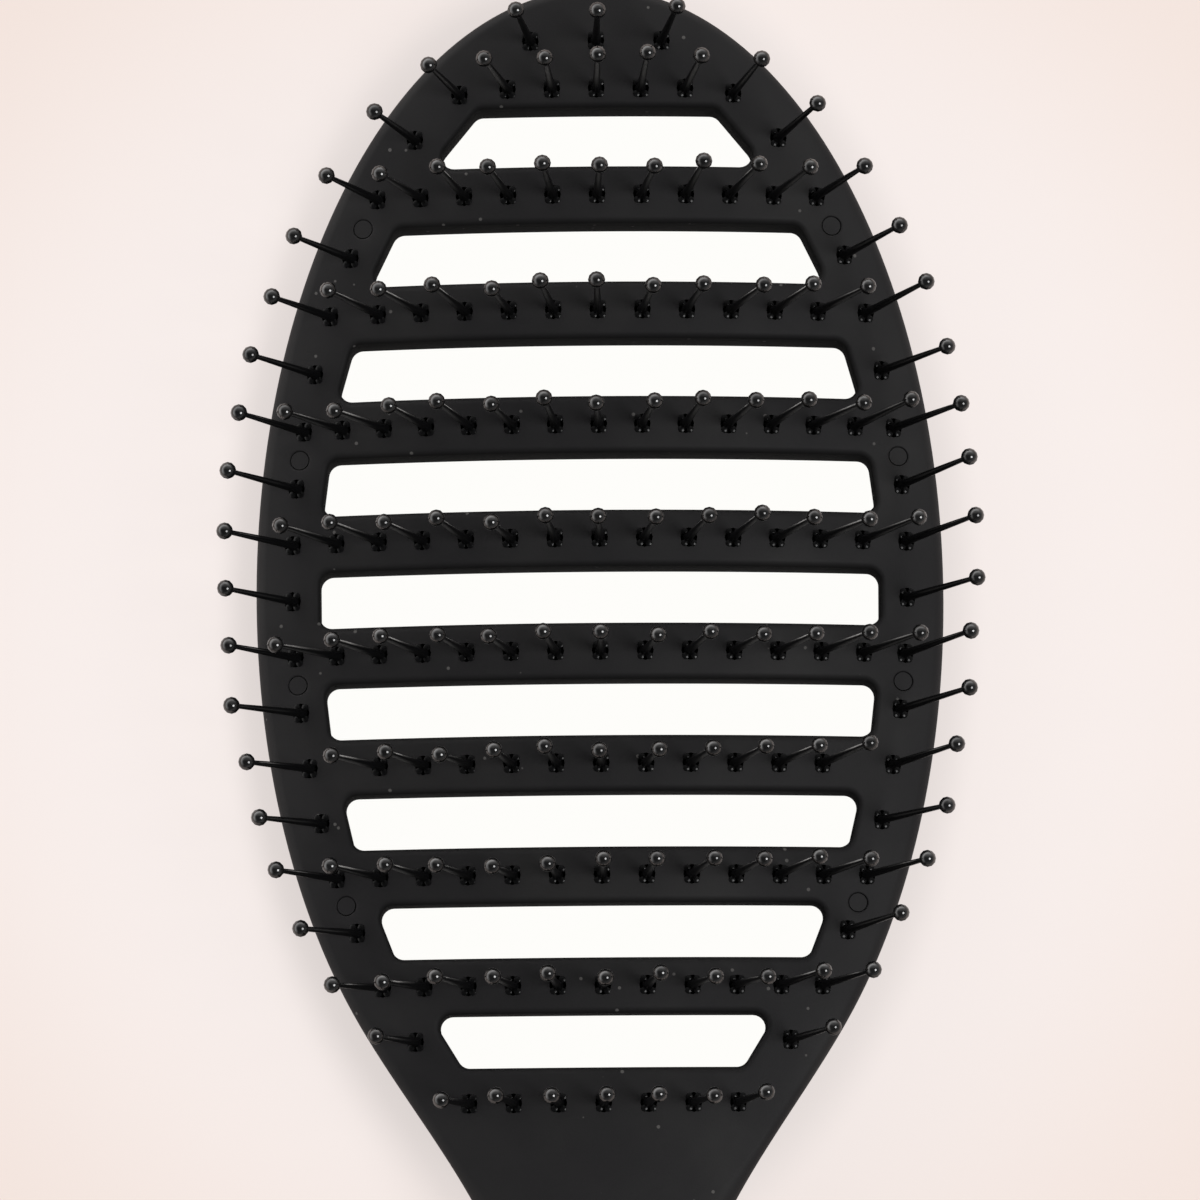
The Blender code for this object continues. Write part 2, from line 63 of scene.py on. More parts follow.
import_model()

# Front shell: the bowed oval face, its nine slots and the front half of the handle, one moulding in
# ABS with a sprayed soft-touch coat. The pins stand through small holes in it, and eight pegs of the
# back shell fill the round holes near its rim.

front_low, front_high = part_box("front_shell")
TIP_Y = front_high.y
END_Y = front_low.y
CROWN_Z = front_high.z
HEAD_HALF_WIDTH = front_high.x
HEAD_HALF_LENGTH = 0.0677
HEAD_RUNS_TO = 0.0470          # how far below the ellipse's centre the neck curve takes over
NECK_CURVE_LENGTH = 0.0355
NECK_WIDTH = 0.0200
GRIP_WIDTH = 0.0260
GRIP_SWELL_LENGTH = 0.0550     # from the narrowest place down to the full grip
END_ROUNDING = 0.0150
BLEND_START = 0.0620           # below the ellipse's centre, where the section starts to thicken
BLEND_LENGTH = 0.0280
HEAD_Y = TIP_Y - HEAD_HALF_LENGTH
NECK_CURVE_Y = HEAD_Y - HEAD_RUNS_TO
NECK_Y = NECK_CURVE_Y - NECK_CURVE_LENGTH
END_CURVE_Y = END_Y + END_ROUNDING
BLEND_Y = HEAD_Y - BLEND_START

FACE_RADIUS = 0.100            # the face bows across its width
FRONT_SKIN = 0.0022
RIM_WALL = 0.0016
HANDLE_WALL = 0.0034
HANDLE_SKIN = 0.0026
HOLLOW_MARGIN = 0.0008         # more wall round the front half's hollow than round the back half's
HANDLE_ROUND_PART = 0.68       # part of the half width that the rounded sides take up
HANDLE_SIDE_FLAT = 0.0015      # straight side above and below the joint line
HANDLE_PART_DEPTH = CROWN_Z / 2
HANDLE_ROUND_DEEP = HANDLE_PART_DEPTH - HANDLE_SIDE_FLAT
FRONT_EDGE_ROUND = 0.0012
SLOT_EDGE_ROUND = 0.0008

SLOT_COUNT = 9
SLOTS_START = 0.0503           # from the ellipse's centre down to the middle of the lowest slot
SLOTS_STOP = 0.01693           # from the tip down to the middle of the highest slot
SLOT_PITCH_GROWTH = 0.000062   # half of what the pitch gains from slot to slot towards the tip
SLOT_HEIGHT = 0.00633          # of the middle slot
SLOT_HEIGHT_GROWTH = 0.000085  # each slot nearer the tip is this much higher
SLOT_CORNER = 0.0014
UPPER_SLOT_SLANT = 1.3         # ends of the slots above the middle one, against the outline's slant
SLOT_WALL = 0.0008
RIM_WIDTH = 0.00725
RIM_TIP_EXTRA = 0.0006         # how much wider the rim is beside the highest slot
RIM_TIP_POWER = 8              # how suddenly it widens
MIDDLE_SLOT = (SLOT_COUNT - 1) / 2
LOWEST_SLOT_Y = HEAD_Y - SLOTS_START
HIGHEST_SLOT_Y = TIP_Y - SLOTS_STOP

ROW_COUNT = SLOT_COUNT + 2
PIN_PITCH = 0.00498            # along the bowed face
RIM_PIN_SHIFT = 0.0003         # nearer the neck the rim's pins stand this much inside its middle
RIM_PIN_SHIFT_LENGTH = 0.0300  # they move there over this length about the ellipse's centre
RIM_PIN_GAP = 0.0035           # least distance across from a rim pin to the next one in its row
RIM_PIN_ROOM = 0.0046          # a row is squeezed to leave this much along the face
NECK_ROW_GAP = 0.0039          # from the lowest slot to the row below it
TIP_ROW_GAP = 0.0021           # from the highest slot to the row above it
TIP_ROW_PITCH = 0.0054         # between the two rows above the slots
TIP_ROW_END_DROP = 0.0005      # the rim pins of the lower one stand this much nearer the neck
TIP_PIN_SPACING = 0.00735      # of the pins in the upper one
ROOT_HALF_X = 0.00089
ROOT_HALF_Y = 0.00105
ROOT_GAP = 0.00005

PEG_HOLE_RADIUS = 0.00106
PEG_HOLE_ROUND = 0.00022
PEG_HOLE_STEPS = 4

ELLIPSE_STEPS = 84
NECK_STEPS = 26
GRIP_STEPS = 30
END_STEPS = 16
EDGE_STEPS = 7
CORNER_STEPS = 8
SLOT_EDGE_STEP = 0.0016
FACE_STEP = 0.0021
FACE_STAGGER = 0.5             # every second row of the grid is shifted by this part of a step
FACE_CLEARANCE = 0.0011
HOLE_SIDES = 12
PEG_SIDES = 28
SLOPE_STEP = 0.00001
CUT_TOLERANCE = 1e-9
TRIANGLES_INSIDE = 1           # the kind of cut that keeps only what the borders enclose
SHARP_ANGLE = math.radians(38)


def sag(radius, x):
    """Drop of an arc of this radius at x from its crown."""
    return radius - math.sqrt(radius * radius - x * x)


def mix(a, b, t):
    return a + (b - a) * t


def smooth_step(t):
    t = min(max(t, 0.0), 1.0)
    return t * t * (3.0 - 2.0 * t)


def into_handle(y):
    """0 in the head, 1 in the handle."""
    return smooth_step((BLEND_Y - y) / BLEND_LENGTH)


def ellipse_x(y):
    t = (y - HEAD_Y) / HEAD_HALF_LENGTH
    return HEAD_HALF_WIDTH * math.sqrt(max(1.0 - t * t, 0.0))


def outline_x(y):
    """Half width of the brush at y: an ellipse, a neck curve, and a handle with a round end."""
    if y >= NECK_CURVE_Y:
        return ellipse_x(y)
    if y >= NECK_Y:
        t = (NECK_CURVE_Y - y) / NECK_CURVE_LENGTH
        start = ellipse_x(NECK_CURVE_Y)
        slope = outline_slope(NECK_CURVE_Y + SLOPE_STEP) * NECK_CURVE_LENGTH
        keep = 2 * t ** 3 - 3 * t ** 2 + 1
        lean = t ** 3 - 2 * t ** 2 + t
        return start * keep + NECK_WIDTH / 2 * (1 - keep) - slope * lean
    width = mix(NECK_WIDTH, GRIP_WIDTH, smooth_step((NECK_Y - y) / GRIP_SWELL_LENGTH))
    past = max(END_CURVE_Y - y, 0.0) / END_ROUNDING
    return width / 2 * math.sqrt(max(1.0 - past * past, 0.0))


def outline_slope(y):
    return (outline_x(y + SLOPE_STEP) - outline_x(y - SLOPE_STEP)) / (2 * SLOPE_STEP)


def inside_x(y, distance):
    """Half width of a line that runs this far inside the outline, measured square to it."""
    return outline_x(y) - distance * math.hypot(1.0, outline_slope(y))


def outline_loop():
    """Points of the whole outline, clockwise from the tip."""
    right = [(0.0, TIP_Y)]
    last = math.asin((NECK_CURVE_Y - HEAD_Y) / HEAD_HALF_LENGTH)
    for i in range(1, ELLIPSE_STEPS):
        angle = mix(math.pi / 2, last, i / ELLIPSE_STEPS)
        right.append((HEAD_HALF_WIDTH * math.cos(angle), HEAD_Y + HEAD_HALF_LENGTH * math.sin(angle)))
    for i in range(NECK_STEPS):
        y = mix(NECK_CURVE_Y, NECK_Y, i / NECK_STEPS)
        right.append((outline_x(y), y))
    for i in range(GRIP_STEPS):
        y = mix(NECK_Y, END_CURVE_Y, i / GRIP_STEPS)
        right.append((outline_x(y), y))
    for i in range(END_STEPS):
        y = END_CURVE_Y - END_ROUNDING * math.sin(math.pi / 2 * i / END_STEPS)
        right.append((outline_x(y), y))
    right.append((0.0, END_Y))
    return right + [(-x, y) for x, y in reversed(right[1:-1])]


def inset_loop(loop, distance):
    """A clockwise loop moved inwards by a function of y; round the handle's end it shrinks to a centre."""
    end_centre = Vector((0.0, END_CURVE_Y))
    moved = []
    for i, point in enumerate(loop):
        here = Vector(point)
        if here.y < END_CURVE_Y:
            shrink = distance(END_CURVE_Y) / outline_x(END_CURVE_Y)
            moved.append(tuple(here.lerp(end_centre, shrink)))
            continue
        along = (Vector(loop[(i + 1) % len(loop)]) - Vector(loop[i - 1])).normalized()
        moved.append(tuple(here + Vector((along.y, -along.x)) * distance(here.y)))
    return moved


def face_z(x, y=0.0):
    return CROWN_Z - sag(FACE_RADIUS, x)


def part_z(x, y):
    """Where the two halves of the body meet."""
    return face_z(x) - mix(FRONT_SKIN, HANDLE_PART_DEPTH, into_handle(y))


def ceiling_z(x, y):
    return face_z(x) - mix(FRONT_SKIN, HANDLE_SKIN, into_handle(y)) - HOLLOW_MARGIN


def slot_y(slot):
    """Middle of a slot, counted from the lowest."""
    steps = slot - MIDDLE_SLOT
    pitch = (HIGHEST_SLOT_Y - LOWEST_SLOT_Y) / (SLOT_COUNT - 1)
    middle = (LOWEST_SLOT_Y + HIGHEST_SLOT_Y) / 2
    return middle + pitch * steps + SLOT_PITCH_GROWTH * (steps ** 2 - MIDDLE_SLOT ** 2)


def slot_half_height(slot):
    return (SLOT_HEIGHT + SLOT_HEIGHT_GROWTH * (slot - MIDDLE_SLOT)) / 2


def near_tip(y):
    """1 beside the highest slot, more above it and soon almost 0 below it."""
    return max((y - HEAD_Y) / (HIGHEST_SLOT_Y - HEAD_Y), 0.0) ** RIM_TIP_POWER


def rim_width(y):
    return RIM_WIDTH + RIM_TIP_EXTRA * near_tip(y)


def slot_loop(slot, grow):
    """Outline of a slot grown by this much on every side; its ends slant with the outline."""
    y = slot_y(slot)
    half = slot_half_height(slot) + grow
    slant = outline_slope(y) * (UPPER_SLOT_SLANT if slot > MIDDLE_SLOT else 1.0)
    middle = inside_x(y, rim_width(y) - grow)
    corners = [
        Vector((middle + slant * half, y + half)),
        Vector((middle - slant * half, y - half)),
        Vector((-middle + slant * half, y - half)),
        Vector((-middle - slant * half, y + half)),
    ]
    points = []
    for i, corner in enumerate(corners):
        back = (corners[i - 1] - corner).normalized()
        ahead = (corners[(i + 1) % len(corners)] - corner).normalized()
        opening = back.angle(ahead)
        radius = SLOT_CORNER + grow
        centre = corner + (back + ahead).normalized() * (radius / math.sin(opening / 2))
        first = corner + back * (radius / math.tan(opening / 2)) - centre
        for j in range(CORNER_STEPS + 1):
            angle = (opening - math.pi) * j / CORNER_STEPS
            c, s = math.cos(angle), math.sin(angle)
            points.append((centre.x + first.x * c - first.y * s, centre.y + first.x * s + first.y * c))
        if i in (1, 3):
            # a long side follows this corner, and the face bows along it
            x = points[-1][0]
            steps = int(2 * inside_x(y, RIM_WIDTH) / SLOT_EDGE_STEP)
            points += [(x * (1 - 2 * k / steps), points[-1][1]) for k in range(1, steps)]
    return points


def row_y(row):
    """Rows of pins from the lowest: one below the slots, one on each bar, two above the slots."""
    if row == 0:
        return slot_y(0) - slot_half_height(0) - NECK_ROW_GAP
    if row < SLOT_COUNT:
        low, high = slot_y(row - 1) + slot_half_height(row - 1), slot_y(row) - slot_half_height(row)
        return (low + high) / 2
    top = slot_y(SLOT_COUNT - 1) + slot_half_height(SLOT_COUNT - 1)
    return top + TIP_ROW_GAP + TIP_ROW_PITCH * (row - SLOT_COUNT)


def rim_line_x(y):
    """The rim's pins and pegs stand in the middle of its backing, or a little inside it."""
    middle = (RIM_WALL + rim_width(y) - SLOT_WALL) / 2
    towards_neck = smooth_step((HEAD_Y - y) / RIM_PIN_SHIFT_LENGTH + 0.5)
    return inside_x(y, middle + RIM_PIN_SHIFT * towards_neck)


def arc_x(distance):
    """X of a point that lies this far from the crown along the face."""
    return FACE_RADIUS * math.sin(distance / FACE_RADIUS)


def arc_length(x):
    return FACE_RADIUS * math.asin(x / FACE_RADIUS)


def pin_places(row):
    """Face points of a row's pins, from left to right."""
    y = row_y(row)
    if row == ROW_COUNT - 1:
        return [(i * TIP_PIN_SPACING, y) for i in (-1, 0, 1)]
    end = rim_line_x(y)
    if row == 0:
        each_side = int(arc_length(end) / PIN_PITCH)
        return [(arc_x(i * PIN_PITCH), y) for i in range(-each_side, each_side + 1)]
    each_side = int(arc_length(end - RIM_PIN_GAP) / PIN_PITCH)
    pitch = min(PIN_PITCH, (arc_length(end) - RIM_PIN_ROOM) / each_side)
    places = [(arc_x(i * pitch), y) for i in range(-each_side, each_side + 1)]
    end_y = y - TIP_ROW_END_DROP if row == SLOT_COUNT else y
    return [(-end, end_y), *places, (end, end_y)]


def side_pin_place(slot, side):
    return side * rim_line_x(slot_y(slot)), slot_y(slot)


def peg_places():
    places = []
    for slot in range(1, SLOT_COUNT, 2):
        y = (slot_y(slot) + row_y(slot + 1)) / 2
        places += [(-rim_line_x(y), y), (rim_line_x(y), y)]
    return places


def oval(x, y, half_x, half_y, sides):
    angles = [2 * math.pi * i / sides for i in range(sides)]
    return [(x + half_x * math.cos(a), y + half_y * math.sin(a)) for a in angles]


def turns_left(ring):
    return sum(a.co.x * b.co.y - b.co.x * a.co.y for a, b in zip(ring, ring[1:] + ring[:1])) > 0.0


class Moulding:
    """A closed body made of rings of vertices, strips between two rings, and caps."""

    def __init__(self):
        self.mesh = bmesh.new()
        self.depth = self.mesh.verts.layers.float.new("depth")
        self.polish = self.mesh.verts.layers.float.new("polish")

    def ring(self, points):
        return [self.mesh.verts.new(p) for p in points]

    def lifted(self, loop, height, deep=0.0):
        """Ring of a flat loop, raised to the height that a function of x and y gives."""
        ring = self.ring([(x, y, height(x, y)) for x, y in loop])
        for v in ring:
            v[self.depth] = deep
        return ring

    def strip(self, *rings):
        for a, b in zip(rings, rings[1:]):
            for i in range(len(a)):
                j = (i + 1) % len(a)
                self.mesh.faces.new((a[i], a[j], b[j], b[i]))

    def cap(self, outer, holes=(), height=None):
        """Triangles inside the outer ring and outside the holes, on a fine grid where it has a height."""
        verts, borders = [], []
        for ring in (outer, *holes):
            first = len(verts)
            verts += ring if turns_left(ring) else reversed(ring)
            borders.append(list(range(first, len(verts))))
        if height:
            verts += self.lifted(grid_points(verts), height)
        flat = [Vector((v.co.x, v.co.y)) for v in verts]
        cut = delaunay_2d_cdt(flat, [], borders, TRIANGLES_INSIDE, CUT_TOLERANCE)
        _, _, faces, vert_origins, _, face_origins = cut
        origin = [ids[0] for ids in vert_origins]
        for face, inside in zip(faces, face_origins):
            if list(inside) == [0]:
                self.mesh.faces.new([verts[origin[i]] for i in face])

    def finish(self, name, material):
        loose = [v for v in self.mesh.verts if not v.link_faces]
        bmesh.ops.delete(self.mesh, geom=loose, context="VERTS")
        bmesh.ops.recalc_face_normals(self.mesh, faces=self.mesh.faces)
        data = bpy.data.meshes.new(name)
        self.mesh.to_mesh(data)
        self.mesh.free()
        data.shade_smooth()
        data.set_sharp_from_angle(angle=SHARP_ANGLE)
        data.materials.append(material)
        piece = bpy.data.objects.new(name, data)
        bpy.context.scene.collection.objects.link(piece)
        return piece


def grid_points(border):
    """A staggered grid over a border's extent that keeps clear of the border's own vertices."""
    tree = KDTree(len(border))
    for i, v in enumerate(border):
        tree.insert((v.co.x, v.co.y, 0.0), i)
    tree.balance()
    low_x, high_x = min(v.co.x for v in border), max(v.co.x for v in border)
    low_y, high_y = min(v.co.y for v in border), max(v.co.y for v in border)
    across, along = int((high_x - low_x) / FACE_STEP), int((high_y - low_y) / FACE_STEP)
    points = []
    for j in range(along):
        for i in range(across):
            x = low_x + (i + FACE_STAGGER * (j % 2 + 0.5)) * FACE_STEP
            y = low_y + (j + 0.5) * FACE_STEP
            if tree.find((x, y, 0.0))[2] > FACE_CLEARANCE:
                points.append((x, y))
    return points


def edge_rings(solid, outline, surface, head_round, fall):
    """Rings from a surface round its edge to the side; fall is -1 where the edge drops from it."""
    rings = []
    for i in range(EDGE_STEPS + 1):
        angle = math.pi / 2 * i / EDGE_STEPS
        across, deep = 1.0 - math.sin(angle), fall * (1.0 - math.cos(angle))
        loop = inset_loop(outline, lambda y: across * round_width(y, head_round))
        rings.append(solid.lifted(loop, lambda x, y: surface(x, y) + deep * round_depth(y, head_round)))
    return rings


def slot_edge_rings(solid, slot, surface, edge_round, fall):
    """The same round a slot's edge; each ring's depth says how far it has turned into the slot."""
    rings = []
    for i in range(EDGE_STEPS + 1):
        angle = math.pi / 2 * i / EDGE_STEPS
        grown, deep = 1.0 - math.sin(angle), 1.0 - math.cos(angle)
        loop = slot_loop(slot, grown * edge_round)
        rings.append(solid.lifted(loop, lambda x, y: surface(x, y) + fall * deep * edge_round, deep))
    return rings


def round_width(y, head_round):
    return mix(head_round, HANDLE_ROUND_PART * outline_x(max(y, END_CURVE_Y)), into_handle(y))


def round_depth(y, head_round):
    return mix(head_round, HANDLE_ROUND_DEEP, into_handle(y))


def wall_inset(y):
    return mix(RIM_WALL, HANDLE_WALL, into_handle(y))


def hollow_loop():
    """Outline of the hollow in the front half's handle."""
    start = BLEND_Y - BLEND_LENGTH / 2
    wall = HANDLE_WALL + HOLLOW_MARGIN
    inner = [point for point in inset_loop(outline_loop(), lambda y: wall) if point[1] < start]
    return [(inside_x(start, wall), start), *inner, (-inside_x(start, wall), start)]


class Wire:
    """An output socket in a tree of nodes; arithmetic on it adds Math nodes."""

    def __init__(self, nodes, socket):
        self.nodes, self.socket = nodes, socket

    def math(self, operation, *values):
        return self.nodes.add("ShaderNodeMath", {"operation": operation}, *values)

    def __add__(self, other):
        return self.math("ADD", self, other)

    def __radd__(self, other):
        return self.math("ADD", other, self)

    def __sub__(self, other):
        return self.math("SUBTRACT", self, other)

    def __rsub__(self, other):
        return self.math("SUBTRACT", other, self)

    def __mul__(self, other):
        return self.math("MULTIPLY", self, other)

    def __rmul__(self, other):
        return self.math("MULTIPLY", other, self)

    def __truediv__(self, other):
        return self.math("DIVIDE", self, other)

    def __gt__(self, other):
        return self.math("GREATER_THAN", self, other)

    def __lt__(self, other):
        return self.math("LESS_THAN", self, other)

    def ramp(self, low, high):
        """0 at low and below, 1 at high and above, smooth between."""
        settings = {"interpolation_type": "SMOOTHSTEP"}
        return self.nodes.add("ShaderNodeMapRange", settings, self, low, high)


class Nodes:
    """The node tree of a material, of the world or of a modifier."""

    def __init__(self, tree):
        self.tree = tree

    def give(self, socket, value):
        """Links a wire to a socket, or sets the socket to a number, a colour or an object."""
        if isinstance(value, Wire):
            self.tree.links.new(value.socket, socket)
        else:
            socket.default_value = value

    def add(self, kind, settings=None, *values, out=0, **named):
        """Adds a node; values go to its inputs in order, None to skip one, or by name."""
        node = self.tree.nodes.new(kind)
        for key, value in (settings or {}).items():
            setattr(node, key, value)
        for socket, value in zip(node.inputs, values):
            if value is not None:
                self.give(socket, value)
        for key, value in named.items():
            self.give(node.inputs[key.replace("_", " ")], value)
        return Wire(self, node.outputs[out])


class Finish(Nodes):
    """A material's nodes, round one Principled shader with constant sockets set by name."""

    def __init__(self, name, **constants):
        self.material = bpy.data.materials.new(name)
        self.material.use_nodes = True
        super().__init__(self.material.node_tree)
        self.shader = self.tree.nodes["Principled BSDF"]
        for key, value in constants.items():
            self.give(self.shader.inputs[key.replace("_", " ")], value)

    def feed(self, socket, wire):
        self.give(self.shader.inputs[socket], wire)

    def place(self):
        return self.add("ShaderNodeTexCoord", out="Object")

    def noise(self, scale, detail):
        return self.add("ShaderNodeTexNoise", Vector=self.place(), Scale=scale, Detail=detail)

    def blend(self, amount, first, second):
        """Colour between two colours."""
        node = self.tree.nodes.new("ShaderNodeMix")
        node.data_type = "RGBA"
        for place, value in ((0, amount), (6, first), (7, second)):
            self.give(node.inputs[place], value)
        return Wire(self, node.outputs[2])

    def bump(self, height, distance, strength):
        wire = self.add("ShaderNodeBump", Strength=strength, Distance=distance, Height=height)
        self.feed("Normal", wire)


SOFT_BLACK = (0.0118, 0.0114, 0.0122, 1.0)
SOFT_BLACK_WORN = (0.0160, 0.0156, 0.0158, 1.0)
# painted shade: the darker black on the walls inside the slots
SLOT_PAINTED_SHADE = (0.0045, 0.0044, 0.0043, 1.0)
DUST = (0.15, 0.145, 0.14, 1.0)
COAT_GLOSS = 0.13
COAT_ROUGHNESS = 0.56
GRAIN_SCALE = 5200
GRAIN_DETAIL = 1.0
GRAIN_ROUGHNESS = 0.10
GRAIN_HEIGHT = 0.000012
GRAIN_STRENGTH = 0.6
CLOUD_SCALE = 70
CLOUD_DETAIL = 4.0
WORN_STARTS = 0.35             # in the clouds' own values
WORN_ENDS = 0.75
WORN_SMOOTHNESS = 0.05
SPECK_SCALE = 480
SPECK_SIZE = 0.11              # radius, where 1 is the size of the cell that each speck lies in
SPECK_EDGE = 0.03
SPECK_RARITY = 0.72            # the part of the cells that hold none
SPECK_COVER = 0.5
SPECK_ROUGHNESS = 0.2
SPECK_HEIGHT = 2.0             # times the grain's
DEEP_ROUGHNESS = 0.5


def soft_touch(name):
    """Sprayed matt black: a fine grain, faint clouds where hands have polished it, a few specks of dust;
    in the slots it is darkened with a painted shade and is rougher."""
    finish = Finish(name, Metallic=0.0, Specular_IOR_Level=COAT_GLOSS)
    deep = finish.add("ShaderNodeAttribute", {"attribute_name": "depth"}, out="Fac")
    clouds = finish.noise(CLOUD_SCALE, CLOUD_DETAIL)
    grain = finish.noise(GRAIN_SCALE, GRAIN_DETAIL)
    near = finish.add("ShaderNodeTexVoronoi", Vector=finish.place(), Scale=SPECK_SCALE)
    draw = finish.add("ShaderNodeTexVoronoi", Vector=finish.place(), Scale=SPECK_SCALE, out="Color")
    dusty = finish.add("ShaderNodeSeparateColor", None, draw) > SPECK_RARITY
    speck = (SPECK_SIZE - near).ramp(0.0, SPECK_EDGE) * dusty
    worn = clouds.ramp(WORN_STARTS, WORN_ENDS)
    # painted shade: the depth attribute darkens the slot walls and the rounding into them to the darkest
    # black
    coat = finish.blend(deep, finish.blend(worn, SOFT_BLACK, SOFT_BLACK_WORN), SLOT_PAINTED_SHADE)
    finish.feed("Base Color", finish.blend(speck * SPECK_COVER, coat, DUST))
    rough = COAT_ROUGHNESS + GRAIN_ROUGHNESS * grain + speck * SPECK_ROUGHNESS - worn * WORN_SMOOTHNESS
    finish.feed("Roughness", rough + deep * DEEP_ROUGHNESS)
    finish.bump(grain + speck * SPECK_HEIGHT, GRAIN_HEIGHT, GRAIN_STRENGTH)
    return finish.material


front = Moulding()
outline = outline_loop()
rings = edge_rings(front, outline, face_z, FRONT_EDGE_ROUND, -1)
under = front.lifted(outline, part_z)
seat = front.lifted(inset_loop(outline, wall_inset), part_z)
top_holes, under_holes = [], []
for slot in range(SLOT_COUNT):
    slot_rings = slot_edge_rings(front, slot, face_z, SLOT_EDGE_ROUND, -1)
    slot_rings.append(front.lifted(slot_loop(slot, 0.0), part_z, 1.0))
    front.strip(*slot_rings)
    top_holes.append(slot_rings[0])
    under_holes.append(slot_rings[-1])
pin_holes = [place for row in range(ROW_COUNT) for place in pin_places(row)]
pin_holes += [side_pin_place(slot, side) for slot in range(SLOT_COUNT) for side in (-1, 1)]
for x, y in pin_holes:
    loop = oval(x, y, ROOT_HALF_X + ROOT_GAP, ROOT_HALF_Y + ROOT_GAP, HOLE_SIDES)
    upper, lower = front.lifted(loop, face_z), front.lifted(loop, part_z)
    front.strip(upper, lower)
    top_holes.append(upper)
    under_holes.append(lower)
for x, y in peg_places():
    mouth_rings = []
    for step in range(PEG_HOLE_STEPS + 1):
        angle = math.pi / 2 * step / PEG_HOLE_STEPS
        radius = PEG_HOLE_RADIUS + PEG_HOLE_ROUND * (1.0 - math.sin(angle))
        sunk = PEG_HOLE_ROUND * (1.0 - math.cos(angle))
        mouth_rings.append(front.lifted(oval(x, y, radius, radius, PEG_SIDES), lambda x, y: face_z(x) - sunk))
    mouth_rings.append(front.lifted(oval(x, y, PEG_HOLE_RADIUS, PEG_HOLE_RADIUS, PEG_SIDES), part_z))
    front.strip(*mouth_rings)
    top_holes.append(mouth_rings[0])
    under_holes.append(mouth_rings[-1])
mouth, ceiling = front.lifted(hollow_loop(), part_z), front.lifted(hollow_loop(), ceiling_z)
front.strip(mouth, ceiling)
front.cap(ceiling)
under_holes.append(mouth)
front.cap(rings[0], top_holes, face_z)
front.strip(*rings, under, seat)
front.cap(seat, under_holes, part_z)
front_shell = front.finish("front_shell_coated", soft_touch("soft_touch_front"))
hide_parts("front_shell")
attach(front_shell, "root")

# Back shell: the slotted tray behind the face, the back half of the handle and the eight pegs, in the
# same soft-touch ABS. The pegs are pressed and welded into the front shell's holes, so their heads
# show as faint circles in the face, each a hair below it on its outer side.

HEAD_THICKNESS = 0.0070
BACK_RADIUS = 0.108            # larger than the face's, so the rim is the thinnest
BACK_SKIN = 0.0016
BACK_EDGE_ROUND = 0.0020
SEAM = 0.00009                 # between the two shells
PEG_RADIUS = 0.00100
PEG_SINK = 0.00004             # how far a peg's head lies below the face
PEG_TILT = 0.04                # how steeply it falls away on its outer side


def back_z(x, y):
    head = CROWN_Z - HEAD_THICKNESS - sag(BACK_RADIUS, x)
    return mix(head, 0.0, into_handle(y))


def floor_z(x, y):
    return back_z(x, y) + mix(BACK_SKIN, HANDLE_SKIN, into_handle(y))


def land_z(x, y):
    return part_z(x, y) - SEAM


back = Moulding()
rings = edge_rings(back, outline, back_z, BACK_EDGE_ROUND, 1)
land = back.lifted(outline, land_z)
tray = inset_loop(outline, wall_inset)
tray_edge, tray_floor = back.lifted(tray, land_z), back.lifted(tray, floor_z)
bottom_holes, floor_holes = [], []
for slot in range(SLOT_COUNT):
    slot_rings = slot_edge_rings(back, slot, back_z, SLOT_EDGE_ROUND / 2, 1)
    opening, channel = slot_loop(slot, 0.0), slot_loop(slot, SLOT_WALL)
    slot_rings.append(back.lifted(opening, land_z, 1.0))
    slot_rings += [back.lifted(channel, land_z), back.lifted(channel, floor_z)]
    back.strip(*slot_rings)
    bottom_holes.append(slot_rings[0])
    floor_holes.append(slot_rings[-1])
for x, y in peg_places():
    loop = oval(x, y, PEG_RADIUS, PEG_RADIUS, PEG_SIDES)
    tilt = PEG_TILT if x > 0 else -PEG_TILT
    foot = back.lifted(loop, floor_z)
    head = back.lifted(loop, lambda px, py: face_z(px) - PEG_SINK - max((px - x) * tilt, 0.0))
    back.strip(foot, head)
    back.cap(head)
    floor_holes.append(foot)
back.cap(rings[0], bottom_holes, back_z)
back.strip(*rings, land, tray_edge, tray_floor)
back.cap(tray_floor, floor_holes, floor_z)
back_shell = back.finish("back_shell_coated", soft_touch("soft_touch_back"))
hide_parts("back_shell")
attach(back_shell, "root")

# Pins: glossy black nylon, moulded a row at a time on a flat backing strip that lies between the two
# shells. Each pin rises from a root of four lobes, tapers a little, and ends in a ball. Nylon pins
# lean a little as they cool, no two alike.

PIN_LENGTH = 0.0195            # from the face to the middle of the ball
BALL_RADIUS = 0.00094
FLARE_RADIUS = 0.00062
FLARE_HEIGHT = 0.0010
FLARE_HOLLOW = 0.7             # part of its narrowing that is done a third of the way up
FOOT_RADIUS = 0.00045
NECK_RADIUS = 0.00027
NECK_FLARE = 1.3               # the ball starts at this many times the neck's radius
ROOT_DEPTH = 0.0005
LOBE_X = 0.00048
LOBE_Y = 0.00064
LOBE_RADIUS = 0.00041
LOBE_CROWN = 0.0012            # radius of a lobe's domed top
LOBE_EDGE = 0.00012
LOBE_EDGE_MIDDLE = 0.71        # across and down, where its rounding is halfway round
LOBE_HEIGHT = 0.00016
PIN_SIDES = 12
STEM_RINGS = 4
UNDER_RINGS = 2
OVER_RINGS = 5
LOBE_SIDES = 8
BALL_DULLS_FROM = 0.82         # out from the pin's axis, as parts of the ball's radius
BALL_DULLS_TO = 0.95
STEM_SHINES_FROM = 0.50        # up the pin, as parts of its length
STEM_SHINES_TO = 0.80
STEM_SHINE_EDGE = 0.5          # full from this part of the radius towards the tip
LOBE_POLISH = 0.15
TWIST = 0.066                  # a pin's slant along the brush as a part of its slant across it
LEAN = 0.019                   # most that a pin leans either way by chance, as a slope
BACKING_GAP = 0.0003
PAD_HALF = 0.0010
LENGTHWISE_DRAW = 100.0        # keeps a pin's lean along the brush apart from its lean across it
